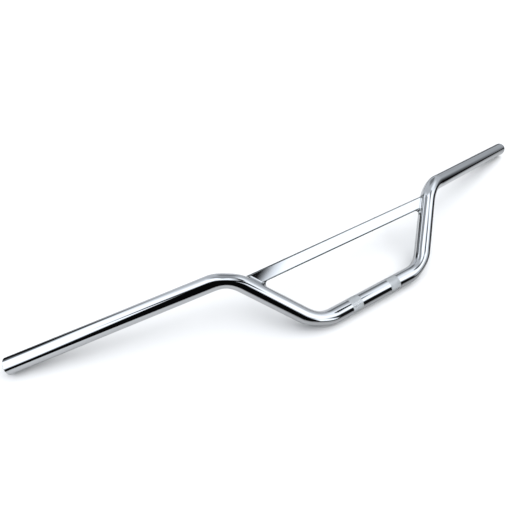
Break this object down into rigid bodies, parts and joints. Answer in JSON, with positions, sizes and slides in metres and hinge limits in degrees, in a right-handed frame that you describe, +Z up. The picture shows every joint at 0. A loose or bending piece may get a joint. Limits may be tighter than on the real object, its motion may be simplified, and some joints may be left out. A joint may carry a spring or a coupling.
{
  "type": "moped handlebar",
  "caption": "Bent chromed steel tube handlebar with swept grip ends, knurled clamp bands and a flat cross brace welded between its risers",
  "frame": {"origin": "middle of the box of the bar as it lies, at floor level", "axes": "+X to the right along the bar, +Y from the clamp section towards the tips, +Z up from the floor it lies on"},
  "size_m": [0.8956, 0.1644, 0.0744],
  "materials": {
    "chrome": "bright chrome plate on steel, matte on the knurled bands"
  },
  "bodies": {
    "root": {"handlebar_tube": "chrome", "cross_brace": "chrome", "brace_welds": "chrome"}
  },
  "joints": []
}
